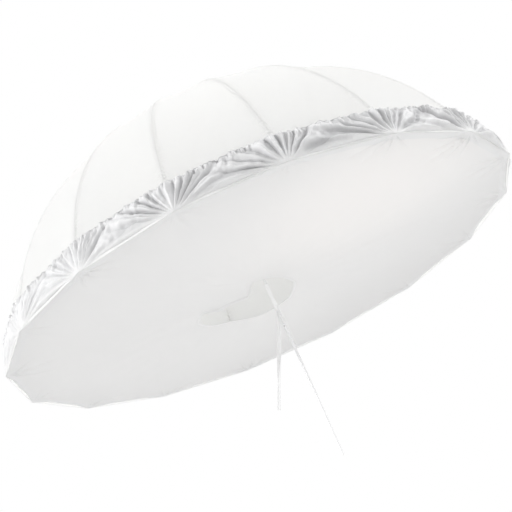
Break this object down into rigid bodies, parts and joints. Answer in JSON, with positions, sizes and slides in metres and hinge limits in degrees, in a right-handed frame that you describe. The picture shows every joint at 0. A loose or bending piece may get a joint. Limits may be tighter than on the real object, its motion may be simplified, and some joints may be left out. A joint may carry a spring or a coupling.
{
  "type": "studio umbrella reflector",
  "caption": "Deep white studio umbrella with a gathered diffuser cover over its mouth, a hemmed lamp slot and tie tapes knotted on a slim shaft; a sliding runner folds its ribs.",
  "frame": {"origin": "centre of the shaft tube's free end, where a lamp's umbrella holder grips it; the plug's head lies below", "axes": "+Z along the shaft from its free end to the top of the canopy, +X towards the right of the lamp slot, +Y from the shaft towards the lamp slot"},
  "size_m": [1.6186, 1.6186, 1.2024],
  "materials": {
    "tube_steel": "white-lacquered steel tube, semi-gloss",
    "white_plastic": "moulded white plastic, fine satin grain",
    "fitting_steel": "bright zinc-plated steel",
    "spring_steel": "polished spring steel leaf",
    "washer_plastic": "soft white polyethylene disc",
    "canopy_cloth": "bright white woven polyester with a smooth lining",
    "diffuser_cloth": "thin white translucent diffusion cloth, soft sheen",
    "hem_cloth": "stitched white hem tape",
    "tie_tape": "narrow woven white tape",
    "fibre_rod": "white glass fibre rod with plated fittings",
    "strut_steel": "plated folded steel channel"
  },
  "bodies": {
    "shaft": {"shaft_tube": "tube_steel", "shaft_plug": "white_plastic", "catch_pin": "fitting_steel", "stop_ring": "fitting_steel", "crown": "white_plastic", "crown_pin": "fitting_steel", "crown_wire": "fitting_steel", "top_washer": "washer_plastic", "top_nut": "white_plastic", "canopy": "canopy_cloth", "diffuser_face": "diffuser_cloth", "diffuser_band": "diffuser_cloth", "band_elastic": "hem_cloth", "slot_binding": "hem_cloth", "tie_lead": "tie_tape", "tie_knot": "tie_tape", "tie_left": "tie_tape", "tie_right": "tie_tape"},
    "runner": {"runner_hub": "white_plastic", "runner_bush": "fitting_steel"},
    "catch": {"catch_spring": "spring_steel"},
    "rib_01": {"rib_01": "fibre_rod"},
    "strut_01": {"strut_01": "strut_steel"},
    "rib_02": {"rib_02": "fibre_rod"},
    "strut_02": {"strut_02": "strut_steel"},
    "rib_03": {"rib_03": "fibre_rod"},
    "strut_03": {"strut_03": "strut_steel"},
    "rib_04": {"rib_04": "fibre_rod"},
    "strut_04": {"strut_04": "strut_steel"},
    "rib_05": {"rib_05": "fibre_rod"},
    "strut_05": {"strut_05": "strut_steel"},
    "rib_06": {"rib_06": "fibre_rod"},
    "strut_06": {"strut_06": "strut_steel"},
    "rib_07": {"rib_07": "fibre_rod"},
    "strut_07": {"strut_07": "strut_steel"},
    "rib_08": {"rib_08": "fibre_rod"},
    "strut_08": {"strut_08": "strut_steel"},
    "rib_09": {"rib_09": "fibre_rod"},
    "strut_09": {"strut_09": "strut_steel"},
    "rib_10": {"rib_10": "fibre_rod"},
    "strut_10": {"strut_10": "strut_steel"},
    "rib_11": {"rib_11": "fibre_rod"},
    "strut_11": {"strut_11": "strut_steel"},
    "rib_12": {"rib_12": "fibre_rod"},
    "strut_12": {"strut_12": "strut_steel"},
    "rib_13": {"rib_13": "fibre_rod"},
    "strut_13": {"strut_13": "strut_steel"},
    "rib_14": {"rib_14": "fibre_rod"},
    "strut_14": {"strut_14": "strut_steel"},
    "rib_15": {"rib_15": "fibre_rod"},
    "strut_15": {"strut_15": "strut_steel"},
    "rib_16": {"rib_16": "fibre_rod"},
    "strut_16": {"strut_16": "strut_steel"}
  },
  "joints": [
    {"name": "runner_slide", "type": "slide", "parent": "shaft", "child": "runner", "axis": [0, 0, 1], "range_m": [-0.38606, 0], "deforming": ["canopy", "diffuser_face", "diffuser_band", "band_elastic", "slot_binding", "tie_lead"]},
    {"name": "rib_hinge_01", "type": "hinge", "parent": "shaft", "child": "rib_01", "pos_m": [0.0156, 0.00354, 1.17565], "axis": [-0.2215, 0.9751, 0], "range_deg": [0, 53.08]},
    {"name": "strut_hinge_01", "type": "hinge", "parent": "rib_01", "child": "strut_01", "pos_m": [0.32031, 0.07277, 1.10365], "axis": [-0.2215, 0.9751, 0], "range_deg": [-93.97, 0]},
    {"name": "rib_hinge_02", "type": "hinge", "parent": "shaft", "child": "rib_02", "pos_m": [0.01306, 0.00925, 1.17565], "axis": [-0.5779, 0.8161, 0], "range_deg": [0, 53.08]},
    {"name": "strut_hinge_02", "type": "hinge", "parent": "rib_02", "child": "strut_02", "pos_m": [0.26808, 0.18981, 1.10365], "axis": [-0.5779, 0.8161, 0], "range_deg": [-93.97, 0]},
    {"name": "rib_hinge_03", "type": "hinge", "parent": "shaft", "child": "rib_03", "pos_m": [0.00853, 0.01354, 1.17565], "axis": [-0.8462, 0.5329, 0], "range_deg": [0, 53.08]},
    {"name": "strut_hinge_03", "type": "hinge", "parent": "rib_03", "child": "strut_03", "pos_m": [0.17504, 0.27795, 1.10365], "axis": [-0.8462, 0.5329, 0], "range_deg": [-93.97, 0]},
    {"name": "rib_hinge_04", "type": "hinge", "parent": "shaft", "child": "rib_04", "pos_m": [0.0027, 0.01577, 1.17565], "axis": [-0.9857, 0.1685, 0], "range_deg": [0, 53.08]},
    {"name": "strut_hinge_04", "type": "hinge", "parent": "rib_04", "child": "strut_04", "pos_m": [0.05534, 0.32378, 1.10365], "axis": [-0.9857, 0.1685, 0], "range_deg": [-93.97, 0]},
    {"name": "rib_hinge_05", "type": "hinge", "parent": "shaft", "child": "rib_05", "pos_m": [-0.00354, 0.0156, 1.17565], "axis": [-0.9751, -0.2215, 0], "range_deg": [0, 53.08]},
    {"name": "strut_hinge_05", "type": "hinge", "parent": "rib_05", "child": "strut_05", "pos_m": [-0.07277, 0.32031, 1.10365], "axis": [-0.9751, -0.2215, 0], "range_deg": [-93.97, 0]},
    {"name": "rib_hinge_06", "type": "hinge", "parent": "shaft", "child": "rib_06", "pos_m": [-0.00925, 0.01306, 1.17565], "axis": [-0.8161, -0.5779, 0], "range_deg": [0, 53.08]},
    {"name": "strut_hinge_06", "type": "hinge", "parent": "rib_06", "child": "strut_06", "pos_m": [-0.18981, 0.26808, 1.10365], "axis": [-0.8161, -0.5779, 0], "range_deg": [-93.97, 0]},
    {"name": "rib_hinge_07", "type": "hinge", "parent": "shaft", "child": "rib_07", "pos_m": [-0.01354, 0.00853, 1.17565], "axis": [-0.5329, -0.8462, 0], "range_deg": [0, 53.08]},
    {"name": "strut_hinge_07", "type": "hinge", "parent": "rib_07", "child": "strut_07", "pos_m": [-0.27795, 0.17504, 1.10365], "axis": [-0.5329, -0.8462, 0], "range_deg": [-93.97, 0]},
    {"name": "rib_hinge_08", "type": "hinge", "parent": "shaft", "child": "rib_08", "pos_m": [-0.01577, 0.0027, 1.17565], "axis": [-0.1685, -0.9857, 0], "range_deg": [0, 53.08]},
    {"name": "strut_hinge_08", "type": "hinge", "parent": "rib_08", "child": "strut_08", "pos_m": [-0.32378, 0.05534, 1.10365], "axis": [-0.1685, -0.9857, 0], "range_deg": [-93.97, 0]},
    {"name": "rib_hinge_09", "type": "hinge", "parent": "shaft", "child": "rib_09", "pos_m": [-0.0156, -0.00354, 1.17565], "axis": [0.2215, -0.9751, 0], "range_deg": [0, 53.08]},
    {"name": "strut_hinge_09", "type": "hinge", "parent": "rib_09", "child": "strut_09", "pos_m": [-0.32031, -0.07277, 1.10365], "axis": [0.2215, -0.9751, 0], "range_deg": [-93.97, 0]},
    {"name": "rib_hinge_10", "type": "hinge", "parent": "shaft", "child": "rib_10", "pos_m": [-0.01306, -0.00925, 1.17565], "axis": [0.5779, -0.8161, 0], "range_deg": [0, 53.08]},
    {"name": "strut_hinge_10", "type": "hinge", "parent": "rib_10", "child": "strut_10", "pos_m": [-0.26808, -0.18981, 1.10365], "axis": [0.5779, -0.8161, 0], "range_deg": [-93.97, 0]},
    {"name": "rib_hinge_11", "type": "hinge", "parent": "shaft", "child": "rib_11", "pos_m": [-0.00853, -0.01354, 1.17565], "axis": [0.8462, -0.5329, 0], "range_deg": [0, 53.08]},
    {"name": "strut_hinge_11", "type": "hinge", "parent": "rib_11", "child": "strut_11", "pos_m": [-0.17504, -0.27795, 1.10365], "axis": [0.8462, -0.5329, 0], "range_deg": [-93.97, 0]},
    {"name": "rib_hinge_12", "type": "hinge", "parent": "shaft", "child": "rib_12", "pos_m": [-0.0027, -0.01577, 1.17565], "axis": [0.9857, -0.1685, 0], "range_deg": [0, 53.08]},
    {"name": "strut_hinge_12", "type": "hinge", "parent": "rib_12", "child": "strut_12", "pos_m": [-0.05534, -0.32378, 1.10365], "axis": [0.9857, -0.1685, 0], "range_deg": [-93.97, 0]},
    {"name": "rib_hinge_13", "type": "hinge", "parent": "shaft", "child": "rib_13", "pos_m": [0.00354, -0.0156, 1.17565], "axis": [0.9751, 0.2215, 0], "range_deg": [0, 53.08]},
    {"name": "strut_hinge_13", "type": "hinge", "parent": "rib_13", "child": "strut_13", "pos_m": [0.07277, -0.32031, 1.10365], "axis": [0.9751, 0.2215, 0], "range_deg": [-93.97, 0]},
    {"name": "rib_hinge_14", "type": "hinge", "parent": "shaft", "child": "rib_14", "pos_m": [0.00925, -0.01306, 1.17565], "axis": [0.8161, 0.5779, 0], "range_deg": [0, 53.08]},
    {"name": "strut_hinge_14", "type": "hinge", "parent": "rib_14", "child": "strut_14", "pos_m": [0.18981, -0.26808, 1.10365], "axis": [0.8161, 0.5779, 0], "range_deg": [-93.97, 0]},
    {"name": "rib_hinge_15", "type": "hinge", "parent": "shaft", "child": "rib_15", "pos_m": [0.01354, -0.00853, 1.17565], "axis": [0.5329, 0.8462, 0], "range_deg": [0, 53.08]},
    {"name": "strut_hinge_15", "type": "hinge", "parent": "rib_15", "child": "strut_15", "pos_m": [0.27795, -0.17504, 1.10365], "axis": [0.5329, 0.8462, 0], "range_deg": [-93.97, 0]},
    {"name": "rib_hinge_16", "type": "hinge", "parent": "shaft", "child": "rib_16", "pos_m": [0.01577, -0.0027, 1.17565], "axis": [0.1685, 0.9857, 0], "range_deg": [0, 53.08]},
    {"name": "strut_hinge_16", "type": "hinge", "parent": "rib_16", "child": "strut_16", "pos_m": [0.32378, -0.05534, 1.10365], "axis": [0.1685, 0.9857, 0], "range_deg": [-93.97, 0]},
    {"name": "catch_swing", "type": "hinge", "parent": "shaft", "child": "catch", "pos_m": [0, 0, 0.84019], "axis": [0, 1, 0], "range_deg": [0, 2.08]}
  ],
  "couplings": [
    {"joint": "rib_hinge_01", "follows": "runner_slide", "rad_per_m": -2.3996},
    {"joint": "strut_hinge_01", "follows": "runner_slide", "rad_per_m": 4.2482},
    {"joint": "rib_hinge_02", "follows": "runner_slide", "rad_per_m": -2.3996},
    {"joint": "strut_hinge_02", "follows": "runner_slide", "rad_per_m": 4.2482},
    {"joint": "rib_hinge_03", "follows": "runner_slide", "rad_per_m": -2.3996},
    {"joint": "strut_hinge_03", "follows": "runner_slide", "rad_per_m": 4.2482},
    {"joint": "rib_hinge_04", "follows": "runner_slide", "rad_per_m": -2.3996},
    {"joint": "strut_hinge_04", "follows": "runner_slide", "rad_per_m": 4.2482},
    {"joint": "rib_hinge_05", "follows": "runner_slide", "rad_per_m": -2.3996},
    {"joint": "strut_hinge_05", "follows": "runner_slide", "rad_per_m": 4.2482},
    {"joint": "rib_hinge_06", "follows": "runner_slide", "rad_per_m": -2.3996},
    {"joint": "strut_hinge_06", "follows": "runner_slide", "rad_per_m": 4.2482},
    {"joint": "rib_hinge_07", "follows": "runner_slide", "rad_per_m": -2.3996},
    {"joint": "strut_hinge_07", "follows": "runner_slide", "rad_per_m": 4.2482},
    {"joint": "rib_hinge_08", "follows": "runner_slide", "rad_per_m": -2.3996},
    {"joint": "strut_hinge_08", "follows": "runner_slide", "rad_per_m": 4.2482},
    {"joint": "rib_hinge_09", "follows": "runner_slide", "rad_per_m": -2.3996},
    {"joint": "strut_hinge_09", "follows": "runner_slide", "rad_per_m": 4.2482},
    {"joint": "rib_hinge_10", "follows": "runner_slide", "rad_per_m": -2.3996},
    {"joint": "strut_hinge_10", "follows": "runner_slide", "rad_per_m": 4.2482},
    {"joint": "rib_hinge_11", "follows": "runner_slide", "rad_per_m": -2.3996},
    {"joint": "strut_hinge_11", "follows": "runner_slide", "rad_per_m": 4.2482},
    {"joint": "rib_hinge_12", "follows": "runner_slide", "rad_per_m": -2.3996},
    {"joint": "strut_hinge_12", "follows": "runner_slide", "rad_per_m": 4.2482},
    {"joint": "rib_hinge_13", "follows": "runner_slide", "rad_per_m": -2.3996},
    {"joint": "strut_hinge_13", "follows": "runner_slide", "rad_per_m": 4.2482},
    {"joint": "rib_hinge_14", "follows": "runner_slide", "rad_per_m": -2.3996},
    {"joint": "strut_hinge_14", "follows": "runner_slide", "rad_per_m": 4.2482},
    {"joint": "rib_hinge_15", "follows": "runner_slide", "rad_per_m": -2.3996},
    {"joint": "strut_hinge_15", "follows": "runner_slide", "rad_per_m": 4.2482},
    {"joint": "rib_hinge_16", "follows": "runner_slide", "rad_per_m": -2.3996},
    {"joint": "strut_hinge_16", "follows": "runner_slide", "rad_per_m": 4.2482}
  ]
}
